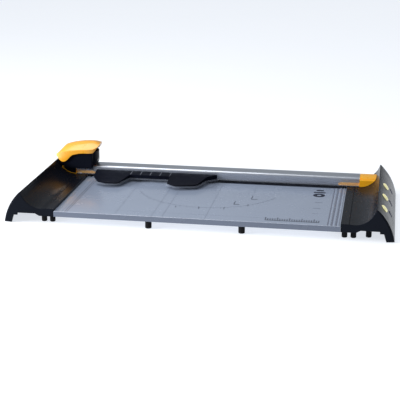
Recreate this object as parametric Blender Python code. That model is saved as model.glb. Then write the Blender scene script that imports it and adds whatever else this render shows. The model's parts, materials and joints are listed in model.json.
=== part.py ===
"""Rotary paper trimmer.

Frame: +X along the rail to the right, +Y to the back, +Z up.  The origin is on
the table under the middle of the bed.  Dimensions are in millimetres and the
mesh functions turn them into metres.
"""
from math import asin, cos, degrees, pi, radians, sin, sqrt

import bmesh
import bpy
from mathutils import Matrix, Vector

MM = 0.001
GAP = 0.3                    # clearance between pieces that touch

# bed
BED_X = 240.0                # half width
BED_Y = 141.0                # half depth
BED_TOP = 22.5
BED_PLATE = 3.0
LIP_DROP = 9.3
LIP_WALL = 2.2
BED_UNDER = BED_TOP - BED_PLATE

# end caps: one cross-section, mirrored left to right
CAP_IN = BED_X + GAP
CAP_BORDER = 26.8            # height of the flat border beside the bed
GROOVE_X = 254.0
BOWL_X = 262.0               # lowest line of the concave side
BOWL_Z = 62.0                # height of the concave side's centre
BOWL_R = 36.0
BOWL_TIP = -14.0             # angle at which the concave side meets the ridge
OUTER_R = 89.7               # convex side
OUTER_TOP = -41.3            # its slope at the ridge, degrees
OUTER_TURN = 40.0
RIDGE_X, RIDGE_Z = 298.0, 53.8
CAP_WALL = 2.6
CAP_UNDER = BED_TOP - LIP_DROP

# rail, blade slot and guard, as seen in the Y-Z section
RAIL_FRONT, RAIL_BACK = 88.5, 115.0
RAIL_BOTTOM = 27.3
RAIL_TOP_FRONT, RAIL_TOP_BACK = 41.5, 42.1
RAIL_END = 262.0
CHANNEL_WALL = 7.5           # of the hollow along the rail's underside
CHANNEL_TOP = 37.0
SLOT_FRONT = 84.6
GUARD_FRONT = 80.6
GUARD_BACK = 82.4
GUARD_TOP = 39.3
CLAMP_UNDER = 27.6

# press pad on the guard
PAD_LEFT, PAD_RIGHT = -222.0, 4.0
PAD_UNDER = 29.9
PAD_BACK_TOP = 37.0
NECK_LEFT, NECK_RIGHT = -155.0, -79.0
NECK_FRONT = 59.0

# carriage, parked at the left end of its travel
CAR_LEFT, CAR_RIGHT = -290.0, -229.5
CAR_FRONT, CAR_BACK = 77.0, 121.0
CAR_BULGE = 7.0              # of the right end face
CAR_UNDER = 38.4
CAR_WALL = 2.2
BLADE_X = -256.0
BLADE_R = 13.0
BLADE_Y = 85.75
BLADE_LIFT = 3.5             # travel of the press head
BLADE_Z = BED_TOP + 0.1 + BLADE_R + BLADE_LIFT
POST_XS = (-282.0, -237.0)
POST_Y = 99.0

# grip
GRIP_LEFT, GRIP_RIGHT = -302.0, -218.0
GRIP_MID = 99.0
GRIP_HALF = 26.0
GRIP_WALL = 2.2
NOSE_REACH = 18.0            # stretch of the crease that lifts towards the nose
NOSE_LIFT = 9.6
NOSE_DROOP = 8.0             # stretch of the top that dips towards the nose

# storage in the right cap
DOOR_Y0, DOOR_Y1 = -124.0, 68.0
DOOR_TURN0, DOOR_TURN1 = 2.9, 29.5   # degrees along the convex side from the ridge
WINDOW_TURN = 10.3
WINDOW_R = 8.0
KNOB_R = 7.2
WINDOW_YS = (-93.0, -28.0, 37.0)
SPARE_TILT = 4.5                     # the spare heads lean in to follow the curve
SPARE_REACH = 14.0                   # from the knob to the blade's centre
HINGE_R = 1.9

COLOURS = {
    "bed": ((0.29, 0.32, 0.42), 0.35, 0.0),
    "dark": ((0.022, 0.024, 0.032), 0.22, 0.0),
    "black": ((0.012, 0.012, 0.014), 0.5, 0.0),
    "yellow": ((0.95, 0.50, 0.03), 0.3, 0.0),
    "aluminium": ((0.55, 0.57, 0.62), 0.3, 0.9),
    "steel": ((0.6, 0.6, 0.62), 0.25, 1.0),
    "clear": ((0.75, 0.79, 0.86), 0.08, 0.0),
    "rubber": ((0.015, 0.015, 0.016), 0.8, 0.0),
}


# ---------------------------------------------------------------- helpers

def clear_scene():
    for obj in list(bpy.data.objects):
        bpy.data.objects.remove(obj, do_unlink=True)


def material(name, kind):
    colour, roughness, metallic = COLOURS[kind]
    mat = bpy.data.materials.new(name + "_material")
    mat.use_nodes = True
    shader = mat.node_tree.nodes["Principled BSDF"]
    shader.inputs["Base Color"].default_value = (*colour, 1.0)
    shader.inputs["Roughness"].default_value = roughness
    shader.inputs["Metallic"].default_value = metallic
    return mat


def add(name, bm, kind, smooth=30):
    """Make a closed bmesh, in millimetres, into a named object."""
    bmesh.ops.recalc_face_normals(bm, faces=bm.faces)
    bmesh.ops.scale(bm, vec=(MM, MM, MM), verts=bm.verts)
    mesh = bpy.data.meshes.new(name)
    bm.to_mesh(mesh)
    bm.free()
    if smooth:
        mesh.shade_smooth()
        mesh.set_sharp_from_angle(angle=radians(smooth))
    if kind:
        mesh.materials.append(material(name, kind))
    obj = bpy.data.objects.new(name, mesh)
    bpy.context.scene.collection.objects.link(obj)
    return obj


def boolean(obj, tool, operation="DIFFERENCE"):
    mod = obj.modifiers.new(operation.lower(), "BOOLEAN")
    mod.operation = operation
    mod.object = tool
    tool.hide_render = True
    tool.display_type = "WIRE"
    return obj


def cut(obj, *tools):
    for tool in tools:
        boolean(obj, tool)
    return obj


def fuse(obj, *tools):
    for tool in tools:
        boolean(obj, tool, "UNION")
    return obj


def arc(cx, cy, radius, start, end, steps):
    """Points of an arc, angles in degrees."""
    points = []
    for i in range(steps + 1):
        a = radians(start + (end - start) * i / steps)
        points.append((cx + radius * cos(a), cy + radius * sin(a)))
    return points


def rounded(points, steps=4):
    """An outline whose corners (x, y, radius) are rounded."""
    outline = []
    count = len(points)
    for i, point in enumerate(points):
        here = Vector(point[:2])
        radius = point[2] if len(point) > 2 else 0.0
        if radius == 0.0:
            outline.append(tuple(here))
            continue
        to_last = (Vector(points[i - 1][:2]) - here).normalized()
        to_next = (Vector(points[(i + 1) % count][:2]) - here).normalized()
        half = to_last.angle(to_next) / 2
        reach = radius * cos(half) / sin(half)
        start = here + to_last * reach
        end = here + to_next * reach
        centre = here + (to_last + to_next).normalized() * (radius / sin(half))
        for k in range(steps + 1):
            way = start.lerp(end, k / steps) - centre
            outline.append(tuple(centre + way.normalized() * radius))
    return outline


def place(axis, u, v, w):
    """Point (u, v) of an outline at w along the axis."""
    return {"X": (w, u, v), "Y": (u, w, v), "Z": (u, v, w)}[axis]


def prism_mesh(outline, axis, low, high):
    bm = bmesh.new()
    rings = [[bm.verts.new(place(axis, u, v, w)) for u, v in outline]
             for w in (low, high)]
    count = len(outline)
    bm.faces.new(rings[0])
    bm.faces.new(rings[1])
    for i in range(count):
        j = (i + 1) % count
        bm.faces.new((rings[0][i], rings[0][j], rings[1][j], rings[1][i]))
    return bm


def prism(name, outline, axis, low, high, kind=None, smooth=30):
    return add(name, prism_mesh(outline, axis, low, high), kind, smooth)


def inward(outline, i):
    """Direction, at a corner of a clockwise outline, that moves both its sides in by one."""
    def normal(a, b):
        way = Vector(b) - Vector(a)
        return Vector((way.y, -way.x)).normalized()

    before = normal(outline[i - 1], outline[i])
    after = normal(outline[i], outline[(i + 1) % len(outline)])
    middle = (before + after).normalized()
    return middle / max(middle.dot(before), 0.5)


def soft_prism(name, outline, radii, side, low, high, kind, smooth):
    """A prism along Y whose end edges are rounded by a radius of their own at each corner."""
    bm = bmesh.new()
    rings = []
    for end, towards in ((low, 1), (high, -1)):
        turns = (0.0, 45.0, 90.0) if towards > 0 else (90.0, 45.0, 0.0)
        for turn in turns:
            ring = []
            for i, (x, z) in enumerate(outline):
                shift = inward(outline, i) * radii[i] * (1 - sin(radians(turn)))
                y = end + towards * radii[i] * (1 - cos(radians(turn)))
                ring.append(bm.verts.new((side * (x + shift.x), y, max(z + shift.y, 0.0))))
            rings.append(ring)
    count = len(outline)
    bm.faces.new(rings[0])
    bm.faces.new(rings[-1])
    for first, second in zip(rings, rings[1:]):
        for i in range(count):
            j = (i + 1) % count
            bm.faces.new((first[i], first[j], second[j], second[i]))
    return add(name, bm, kind, smooth)


def box(name, x, y, z, kind=None, edge=0.0):
    """A box from (low, high) pairs, with its upright edges rounded."""
    outline = [(x[0], y[0], edge), (x[1], y[0], edge), (x[1], y[1], edge), (x[0], y[1], edge)]
    return prism(name, rounded(outline), "Z", z[0], z[1], kind)


def turned_mesh(profile, segments=24):
    """A profile of (radius, height) points, from axis to axis, turned about Z."""
    bm = bmesh.new()
    rings = []
    for radius, height in profile:
        if radius < 1e-6:
            rings.append([bm.verts.new((0, 0, height))])
        else:
            rings.append([bm.verts.new((radius * cos(2 * pi * i / segments),
                                        radius * sin(2 * pi * i / segments), height))
                          for i in range(segments)])
    closed = len(rings[0]) > 1
    pairs = list(zip(rings, rings[1:] + ([rings[0]] if closed else [])))
    for low, high in pairs:
        for i in range(segments):
            j = (i + 1) % segments
            if len(low) == 1 and len(high) == 1:
                continue
            if len(low) == 1:
                bm.faces.new((low[0], high[i], high[j]))
            elif len(high) == 1:
                bm.faces.new((low[i], low[j], high[0]))
            else:
                bm.faces.new((low[i], low[j], high[j], high[i]))
    return bm


AIM = {
    "Z": Matrix.Identity(4),
    "-Y": Matrix.Rotation(pi / 2, 4, "X"),
    "Y": Matrix.Rotation(-pi / 2, 4, "X"),
}


def turned(name, profile, centre, kind=None, aim="Z", segments=24):
    bm = turned_mesh(profile, segments)
    turn = AIM[aim] if isinstance(aim, str) else aim
    bm.transform(Matrix.Translation(centre) @ turn)
    return add(name, bm, kind)


def rod(name, radius, low, high, x, y, kind=None, segments=20):
    return turned(name, [(0, low), (radius, low), (radius, high), (0, high)],
                  (x, y, 0), kind, segments=segments)


def spring(name, radius, wire, low, high, turns, x, y, sides=5, steps=8):
    """A coil spring about a vertical axis, with closed ends."""
    bm = bmesh.new()
    rings = []
    total = turns * steps
    for i in range(total + 1):
        a = 2 * pi * i / steps
        height = low + wire + (high - low - 2 * wire) * i / total
        out = Vector((cos(a), sin(a), 0))
        centre = Vector((x, y, height)) + out * radius
        rings.append([bm.verts.new(centre + out * wire * cos(2 * pi * k / sides)
                                   + Vector((0, 0, wire * sin(2 * pi * k / sides))))
                      for k in range(sides)])
    for first, second in zip(rings, rings[1:]):
        for k in range(sides):
            j = (k + 1) % sides
            bm.faces.new((first[k], first[j], second[j], second[k]))
    bm.faces.new(rings[0])
    bm.faces.new(rings[-1])
    return add(name, bm, "steel")


def mirrored(outline, side):
    return [(side * x, z) for x, z in outline]


# ---------------------------------------------------------------- end caps

def outer_point(turn, depth=0.0):
    """A point on the cap's convex side, turn degrees from the ridge."""
    centre_x = RIDGE_X - OUTER_R * sin(radians(-OUTER_TOP))
    centre_z = RIDGE_Z - OUTER_R * cos(radians(OUTER_TOP))
    slope = radians(-OUTER_TOP + turn)
    reach = OUTER_R - depth
    return (centre_x + reach * sin(slope), centre_z + reach * cos(slope))


def outer_arc(first, last, steps, depth=0.0):
    return [outer_point(first + (last - first) * i / steps, depth) for i in range(steps + 1)]


def cap_outline():
    """The cap's cross-section: border, bowl, ridge, convex side and arched underside."""
    groove = [(GROOVE_X - 0.7, CAP_BORDER), (GROOVE_X, CAP_BORDER - 0.7), (GROOVE_X + 0.7, CAP_BORDER - 0.1)]
    bowl = arc(BOWL_X, BOWL_Z, BOWL_R, -90, BOWL_TIP - 2, 14)
    side = outer_arc(1.0, OUTER_TURN, 13)
    under = [(314.2, 0.0), (310.1, CAP_UNDER), (303.7, CAP_UNDER), (303.5, 17.0),
             (272.7, 17.2), (265.3, CAP_UNDER), (CAP_IN, CAP_UNDER)]
    return [(CAP_IN, CAP_BORDER)] + groove + bowl + [(RIDGE_X - 0.6, RIDGE_Z - 0.15)] + side + under


def cap_edge(x, z):
    """Radius of the end faces' edges: wide along the convex side, small elsewhere."""
    on_convex_side = x > RIDGE_X and not (x < 315.0 and z < 20.0)
    return 0.8 + 2.2 * min((x - RIDGE_X) / 8.0, 1.0) if on_convex_side else 0.4 if z < 20.0 else 0.8


def cap_cavity():
    """The hollow between the cap's two sides, open below."""
    inner = arc(BOWL_X, BOWL_Z, BOWL_R + CAP_WALL + 0.2, -90, -27.5, 11)
    side = outer_arc(5.0, OUTER_TURN - 0.5, 11, CAP_WALL)
    foot = side[-1][0]
    return [(CAP_IN + CAP_WALL, -5.0), (CAP_IN + CAP_WALL, 23.4)] + inner + side + [(foot, -5.0)]


def bowl_height(x):
    return BOWL_Z - sqrt(BOWL_R ** 2 - (abs(x) - BOWL_X) ** 2)


def cap_flange_screws(side):
    return [(side * 231.0, y) for y in (-95.0, 104.0)]


def end_cap(name, side):
    outline = cap_outline()
    radii = [cap_edge(x, z) for x, z in outline]
    cap = soft_prism(name, outline, radii, side, -BED_Y, BED_Y, "dark", smooth=32)
    cut(cap, prism(name + "_cavity", mirrored(cap_cavity(), side), "Y", -BED_Y + 3, BED_Y - 3))
    for i, (x, y) in enumerate(cap_foot_places(side)):
        top = bowl_height(x - 4.4) - 1.0 if abs(x) > 270 else CAP_BORDER - 1.5
        fuse(cap, rod(f"{name}_boss_{i}", 4.4, 12.9, top, x, y))
    for i, (x, y) in enumerate(cap_flange_screws(side)):
        ends = sorted((side * 224.0, side * (CAP_IN + 1.0)))
        fuse(cap, box(f"{name}_flange_{i}", ends, (y - 12, y + 12), (16.0, BED_UNDER - GAP)))
        cut(cap, rod(f"{name}_flange_hole_{i}", 1.9, 15.0, 21.0, x, y))
    ends = sorted((side * (BED_X - 1), side * (BED_X + 33)))
    cut(cap, box(name + "_blade_slot", ends, (BLADE_Y - 1.5, BLADE_Y + 1.5), (15.0, 35.0)))
    ends = sorted((side * (BED_X - 1), side * (RAIL_END + GAP)))
    cut(cap, box(name + "_clamp_slot", ends, (77.9, BLADE_Y + 1.5), (15.0, 35.0)))
    seat = [(0, 15.0), (4.0, 15.0), (4.0, 23.9), (1.9, 23.9), (1.9, 30.0), (0, 30.0)]
    cut(cap, turned(name + "_block_hole", seat, (side * 267.0, 102.0, 0)))
    return cap


def cap_foot_places(side):
    places = [(side * x, y) for y in (-124.5, 124.5) for x in (246.5, 261.0)]
    return places + [(285.5, -118.0)] if side > 0 else places


def foot(name, radius, top, x, y):
    edge = 1.2
    low = [(0, 0), (radius - edge, 0)]
    curve = [(radius - edge + edge * sin(radians(a)), edge - edge * cos(radians(a)))
             for a in (45, 90)]
    turned(name, low + curve + [(radius, top), (0, top)], (x, y, 0), "rubber", segments=16)


def screw(name, head_r, head_h, shank_r, low, high, x, y):
    """A screw driven from below, head down, with a cross slot."""
    profile = [(0, low), (head_r * 0.8, low), (head_r, low + 0.5), (head_r, low + head_h),
               (shank_r, low + head_h), (shank_r, high - 1), (shank_r * 0.4, high), (0, high)]
    body = turned(name, profile, (x, y, 0), "steel", segments=12)
    long, wide = head_r * 0.65, 0.35
    first = box(name + "_slot_a", (x - long, x + long), (y - wide, y + wide), (low - 1, low + 0.8))
    second = box(name + "_slot_b", (x - wide, x + wide), (y - long, y + long), (low - 1, low + 0.8))
    cut(body, first, second)


# ---------------------------------------------------------------- bed

BRACE_YS = (-62.0, 40.0)
POST_HOLE = (233.0, 80.6)


def bed():
    lip = BED_TOP - LIP_DROP
    outline = rounded([(-BED_Y, BED_TOP, 1.2), (-BED_Y, lip, 0.6), (-BED_Y + LIP_WALL, lip, 0.6),
                       (-BED_Y + LIP_WALL, BED_UNDER), (BED_Y - LIP_WALL, BED_UNDER),
                       (BED_Y - LIP_WALL, lip, 0.6), (BED_Y, lip, 0.6), (BED_Y, BED_TOP, 1.2)], 3)
    plate = prism("bed_plate", outline, "X", -BED_X, BED_X, "bed")
    cut(plate, box("mat_groove", (-BED_X - 1, BED_X + 1), (82.5, 89.3), (21.2, 30)))
    for side in (-1, 1):
        cut(plate, rod(f"post_hole_{side}", 2.0, 15, 30, side * POST_HOLE[0], POST_HOLE[1]))
        for x, y in cap_flange_screws(side):
            cut(plate, rod(f"bed_hole_{x}_{y}", 1.9, 18, 21.8, x, y))
    box("cutting_mat", (-BED_X + 0.5, BED_X - 0.5), (82.8, 89.0), (21.5, 22.45), "black")
    for name, y in zip(("bed_brace_front", "bed_brace_rear"), BRACE_YS):
        channel = [(y - 12, 19.2), (y - 12, 12.0), (y - 10.5, 12.0), (y - 10.5, 17.7),
                   (y + 10.5, 17.7), (y + 10.5, 12.0), (y + 12, 12.0), (y + 12, 19.2)]
        prism(name, channel, "X", -205, 205, "steel")
    for end, y in (("front", -132.4), ("rear", 132.4)):
        for side, x in (("left", -78.5), ("right", 78.5)):
            foot(f"bed_foot_{end}_{side}", 5.5, BED_UNDER - GAP, x, y)


def cap_fittings(word, side):
    for x, y in cap_foot_places(side):
        end = "front" if y < 0 else "rear"
        place_word = "inner" if abs(x) < 250 else "outer" if abs(x) < 270 else "side"
        foot(f"{word}_cap_foot_{end}_{place_word}", 4.7, 12.6, x, y)
    for end, (x, y) in zip(("front", "rear"), cap_flange_screws(side)):
        screw(f"{word}_cap_screw_{end}", 3.4, 1.9, 1.5, 13.8, 21.4, x, y)
    screw(f"{word}_block_screw", 3.4, 1.9, 1.5, 21.7, 31.0, side * 267.0, 102.0)


# ---------------------------------------------------------------- rail and end blocks

def rail_section(grow=0.0):
    """Rail profile in Y-Z: a crowned top and a hooking groove in each long side."""
    back, front = RAIL_BACK + grow, RAIL_FRONT - grow
    crown = []
    for i in range(1, 8):
        t = i / 8
        base = RAIL_TOP_FRONT + (RAIL_TOP_BACK - RAIL_TOP_FRONT) * t
        crown.append((front + (back - front) * t, base + 0.9 * sin(pi * t)))
    return ([(front, RAIL_BOTTOM), (front, 32.7), (front + 2.9, 32.7), (front + 2.9, 36.3), (front, 36.3),
             (front, RAIL_TOP_FRONT - 0.7), (front + 0.5, RAIL_TOP_FRONT)] + crown
            + [(back - 0.5, RAIL_TOP_BACK), (back, RAIL_TOP_BACK - 0.7), (back, 34.8), (back - 3.2, 34.8),
               (back - 3.2, 31.0), (back, 31.0), (back, RAIL_BOTTOM)])


def rail():
    """Guide rail, with a channel along its underside."""
    section = rail_section()
    front, back = RAIL_FRONT + CHANNEL_WALL, RAIL_BACK - CHANNEL_WALL
    channel = [(back, RAIL_BOTTOM), (back, CHANNEL_TOP), (front, CHANNEL_TOP), (front, RAIL_BOTTOM)]
    prism("rail", section + channel, "X", -RAIL_END, RAIL_END, "aluminium", smooth=20)


def bowl_cutter(name, side, gap):
    """Everything outside the cap's concave side."""
    bowl = arc(BOWL_X, BOWL_Z, BOWL_R - gap, -90, 0, 18)
    outline = [(200.0, BOWL_Z - BOWL_R + gap)] + bowl + [(340.0, BOWL_Z), (340.0, 0.0), (200.0, 0.0)]
    return prism(name, mirrored(outline, side), "Y", 60, 140)


def end_block(name, side):
    """Yellow block that carries on the rail's section up to the cap's concave side."""
    start, end = RAIL_END + GAP, 292.0

    def along(low, high):
        return sorted((side * low, side * high))

    block = prism(name, rail_section(), "X", *along(start, end), "yellow", smooth=20)
    wall = rounded([(GUARD_FRONT, 24.0), (SLOT_FRONT, 24.0), (SLOT_FRONT, 40.0, 0.8),
                    (GUARD_FRONT, 39.6, 1.6)], 3)
    fuse(block, prism(name + "_wall", wall, "X", *along(start, end)))
    floor = [(272.0, 24.0), (272.0, 27.5), (277.0, 30.5), (284.0, 33.0), (292.0, 33.0), (292.0, 24.0)]
    fuse(block, prism(name + "_floor", mirrored(floor, side), "Y", GUARD_FRONT + 1, RAIL_FRONT + 1))
    channel = (RAIL_FRONT + CHANNEL_WALL + 0.4, RAIL_BACK - CHANNEL_WALL - 0.4)
    fuse(block, box(name + "_spigot", along(248.0, start + 1), channel, (28.0, CHANNEL_TOP - 0.4)))
    tongue = [(224.0, 30.0), (229.0, 32.6), (start + 1, 33.0), (start + 1, 27.8), (225.0, 27.8)]
    fuse(block, prism(name + "_tongue", mirrored(tongue, side), "Y", GUARD_BACK + 0.4, 84.2))
    if side > 0:
        stop = [(SLOT_FRONT - 0.5, 36.0), (RAIL_FRONT + 3.5, 36.0), (RAIL_FRONT + 3.5, RAIL_TOP_FRONT),
                (SLOT_FRONT, 40.9), (SLOT_FRONT - 0.5, 39.0)]
        fuse(block, prism(name + "_stop", stop, "X", *along(266.0, end)))
    cut(block, bowl_cutter(name + "_bowl", side, 0.4))
    cut(block, rod(name + "_hole", 1.9, 20.0, 31.6, side * 267.0, 102.0))
    return block


# ---------------------------------------------------------------- paper clamp

def pad_plan(grow=0.0):
    """Plan outline of the pad: two lobes joined by a straight neck."""
    g = grow
    return rounded([
        (PAD_LEFT - g * 0.3, 80.3), (PAD_LEFT + 2 - g, 50, 6), (-207 - g, 24 - g, 8), (-192, 15.5 - g, 10),
        (-168 + g, 16.5 - g, 8), (NECK_LEFT + g, NECK_FRONT - g, 5), (NECK_RIGHT - g, NECK_FRONT - g, 3),
        (-80 - g, 30 - g, 8), (-62, 15.5 - g, 10), (-25 + g, 26 - g, 10), (-12 + g, 66 - g, 8),
        (PAD_RIGHT + g, 76 - g, 3), (PAD_RIGHT + g, 80.3)], 3)


def pad_height(y):
    """The pad's top rises from its front edge to the guard."""
    t = min(max((y - 15.0) / (80.3 - 15.0), 0.0), 1.0)
    return 31.4 + (PAD_BACK_TOP - 31.4) * (t * t * (3 - 2 * t))


def clamp_strip():
    """Clear guard in front of the blade slot, with rims under the pad's lobes."""
    reach = RAIL_END - 0.3
    section = rounded([(78.6, CLAMP_UNDER), (GUARD_BACK, CLAMP_UNDER), (GUARD_BACK, GUARD_TOP, 0.7),
                       (GUARD_FRONT, GUARD_TOP, 0.7), (GUARD_FRONT, CLAMP_UNDER + 1.7),
                       (78.6, CLAMP_UNDER + 1.6, 0.6)], 3)
    strip = prism("clamp_strip", section, "X", -reach, reach, "clear")
    plate = prism("clamp_lobe_plate", pad_plan(2.6), "Z", CLAMP_UNDER, CLAMP_UNDER + 1.9)
    fuse(strip, plate)
    box("clamp_rubber", (-222, 222), (78.9, 82.1), (26.7, CLAMP_UNDER - GAP), "rubber")
    for word, side in (("left", -1), ("right", 1)):
        x, y = side * POST_HOLE[0], POST_HOLE[1]
        profile = [(0, 17.2), (3.3, 17.2), (3.6, 17.5), (3.6, 19.1), (1.5, 19.1), (1.5, 27.3), (0, 27.3)]
        turned(f"clamp_post_{word}", profile, (x, y, 0), "steel", segments=16)
        cup = [(0, 3.0), (6.2, 3.0), (6.2, 19.2), (4.3, 19.2), (4.3, 4.6), (0, 4.6)]
        turned(f"spring_cup_{word}", cup, (x, y, 0), "black", segments=20)
        spring(f"clamp_spring_{word}", 3.0, 0.45, 4.9, 16.9, 6, x, y)


def press_pad():
    """Black pad: a raised back, two sloping lobes, ribs across the neck."""
    block = prism("press_pad", pad_plan(), "Z", PAD_UNDER, 40.0, "black")
    above = [(0.0, 50.0), (0.0, pad_height(15.0))]
    above += [(y, pad_height(y)) for y in (15, 25, 35, 45, 55, 65, 73, 80.3)]
    above += [(90.0, PAD_BACK_TOP), (90.0, 50.0)]
    cut(block, prism("pad_top", above, "X", -240, 20))
    for i in range(5):
        x = NECK_LEFT + 1.5 + (NECK_RIGHT - NECK_LEFT - 3.0) * i / 4
        rib = [(NECK_FRONT - 0.6, PAD_UNDER + 0.4), (NECK_FRONT - 0.6, pad_height(NECK_FRONT) + 0.6),
               (79.9, PAD_BACK_TOP + 0.1), (79.9, PAD_UNDER + 0.4)]
        fuse(block, prism(f"pad_rib_{i}", rib, "X", x - 0.6, x + 0.6))


# ---------------------------------------------------------------- carriage

def carriage_plan(inset=0.0):
    """Housing outline seen from above: square at the left, bulging end face at the right."""
    left, right = CAR_LEFT + inset, CAR_RIGHT - inset
    front, back = CAR_FRONT + inset, CAR_BACK - inset
    corner = 3.4 - inset
    half = (back - front) / 2 - corner
    bulge = CAR_BULGE
    radius = (half * half + bulge * bulge) / (2 * bulge)
    span = degrees(asin(half / radius))
    face = arc(right + bulge - radius, (front + back) / 2, radius, -span, span, 8)
    corners = rounded([(left, back, 5 - inset), (left, front, 5 - inset),
                       (right, front, corner), (right, back, corner)], 3)
    return corners[:12] + face[1:-1] + corners[12:]


def housing_side(low_cut):
    """Housing seen from the front: a sloping top under the grip, its left foot cut to clear the bowl."""
    return [(-300, 46.5), (-289, 44.5), (-281.0, CAR_UNDER), (-230.5, CAR_UNDER), (-227.0, 43.0),
            (-224.6, 49.0), (-222.3, 56.0), (-222.3, 68.4), (-258, 67.0), (-275, 63.0), (-284, 58.4),
            (-292, 51.5 + low_cut), (-300, 49.0 + low_cut)]


def carriage_housing():
    shell = prism("carriage_housing", carriage_plan(), "Z", CAR_UNDER - 2, 70.0, "dark")
    boolean(shell, prism("housing_side", housing_side(2.0), "Y", 60, 140), "INTERSECT")
    cut(shell, prism("housing_inside", carriage_plan(CAR_WALL), "Z", 20.0, 80.0))
    saddle = [(CAR_FRONT + CAR_WALL, 20.0), (CAR_BACK - CAR_WALL, 20.0), (CAR_BACK - CAR_WALL, 43.9),
              (CAR_FRONT + CAR_WALL, 43.9)]
    cut(shell, prism("housing_saddle", saddle, "X", -320, -200))
    return shell


def carriage_chassis():
    """Slide frame over the rail: hooks front and back, two guide posts."""
    left, right = CAR_LEFT + 6.6, CAR_RIGHT - 2.6
    plate = rounded([(left, 86.6), (-273.0, 86.6), (-273.0, 89.2), (-240.0, 89.2), (-240.0, 86.6),
                     (right, 86.6), (right, 118.4, 2), (left, 118.4, 2)], 2)
    body = prism("carriage_chassis", plate, "Z", 43.7, 46.7, "black")
    back_leg = [(115.5, 30.0), (118.4, 30.0), (118.4, 45.0), (115.5, 45.0), (115.5, 34.3), (112.4, 34.3),
                (112.4, 31.5), (115.5, 31.5)]
    fuse(body, prism("chassis_back_leg", back_leg, "X", -276.0, right))
    front_leg = [(86.6, 33.5), (90.6, 33.5), (90.6, 35.8), (88.0, 35.8), (88.0, 45.0), (86.6, 45.0)]
    fuse(body, prism("chassis_front_leg_a", front_leg, "X", left, -274.0))
    fuse(body, prism("chassis_front_leg_b", front_leg, "X", -239.0, right))
    for i, x in enumerate(POST_XS):
        fuse(body, rod(f"chassis_post_{i}", 2.5, 45.0, 63.0, x, POST_Y, segments=16))
    return body


def grip_outline(turns):
    """Plan of the grip: flat sides, a blunt left end and a nose at the right."""
    points = []
    middle, reach = (GRIP_LEFT + GRIP_RIGHT) / 2, (GRIP_RIGHT - GRIP_LEFT) / 2
    for i in range(turns):
        a = 2 * pi * (i + 0.5) / turns
        c, s = cos(a), sin(a)
        power_x = 0.55 if c > 0 else 0.5
        x = middle + reach * (abs(c) ** power_x) * (1 if c > 0 else -1)
        y = GRIP_MID + GRIP_HALF * (abs(s) ** 0.5) * (1 if s > 0 else -1)
        points.append((x, y))
    return points


def rise(x, low, high, full):
    """Quarter-ellipse rise from the grip's left end up to its full height."""
    u = (x - GRIP_LEFT) / (GRIP_RIGHT - GRIP_LEFT)
    t = min(max(u / full, 0.0), 1.0)
    return low + (high - low) * sqrt(1 - (1 - t) ** 2)


def grip_spine(x):
    droop = max(0.0, x - (GRIP_RIGHT - NOSE_DROOP))
    return rise(x, 61.0, 87.1, 0.82) - 0.015 * droop * droop


def grip_crease(x, y):
    nose = max(0.0, 1 - abs(y - GRIP_MID) / GRIP_HALF)
    along = min(max((x - (GRIP_RIGHT - NOSE_REACH)) / NOSE_REACH, 0.0), 1.0)
    lift = NOSE_LIFT * along * (1 - (1 - nose) ** 2)
    return rise(x, 59.8, 74.8, 0.86) + lift


def grip_hem(x):
    """Lower edge: a lobe at the left, an arch, and a rising edge round the nose."""
    points = [(-302.0, 59.0), (-297.5, 58.3), (-295.8, 56.4), (-293.0, 53.0), (-289.5, 50.6), (-285.5, 49.8),
              (-281.0, 51.0), (-276.5, 54.4), (-272.0, 59.6), (-267.0, 63.8), (-258.0, 66.6), (-248.0, 67.6),
              (-235.0, 67.6), (-228.0, 68.2), (-218.0, 80.5)]
    for (x0, z0), (x1, z1) in zip(points, points[1:]):
        if x <= x1:
            t = min(max((x - x0) / (x1 - x0), 0.0), 1.0)
            return z0 + (z1 - z0) * t
    return points[-1][1]


def grip_cap():
    """Yellow palm grip: a domed shell, open below."""
    turns = 48
    plan = grip_outline(turns)
    bm = bmesh.new()

    def ring(inset, height):
        verts = []
        for x, y in plan:
            spine_x = min(max(x, GRIP_LEFT + 20.0), GRIP_RIGHT - 14.0)
            towards = Vector((spine_x - x, GRIP_MID - y))
            step = towards * inset
            px, py = x + step.x, y + step.y
            verts.append(bm.verts.new((px, py, height(x, y, px))))
        return verts

    def dome(fraction, wall):
        def height(x, y, px):
            base = grip_crease(x, y)
            top = grip_spine(px)
            return base + (top - base) * sin(fraction * pi / 2) - wall
        return height

    shares = (0.02, 0.12, 0.26, 0.42, 0.6, 0.78, 0.94)
    outer = [ring(0.0, lambda x, y, px: grip_hem(x)),
             ring(0.0, lambda x, y, px: grip_crease(x, y) - 0.5)]
    outer += [ring(share, dome(share, 0.0)) for share in shares]
    wall = GRIP_WALL / GRIP_HALF
    inner = [ring(wall, lambda x, y, px: grip_hem(x)),
             ring(wall, lambda x, y, px: grip_crease(x, y) - 1.6)]
    inner += [ring(share, dome(share, GRIP_WALL)) for share in shares[2:]]

    def bridge(first, second):
        for i in range(turns):
            j = (i + 1) % turns
            bm.faces.new((first[i], first[j], second[j], second[i]))

    def close(last):
        half = turns // 2
        for i in range(half - 1):
            a, b = last[i], last[i + 1]
            c, d = last[turns - 2 - i], last[turns - 1 - i]
            bm.faces.new((a, b, c, d))

    for rings in (outer, inner):
        for first, second in zip(rings, rings[1:]):
            bridge(first, second)
        close(rings[-1])
    bridge(outer[0], inner[0])
    return add("grip_cap", bm, "yellow", smooth=35)


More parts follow.
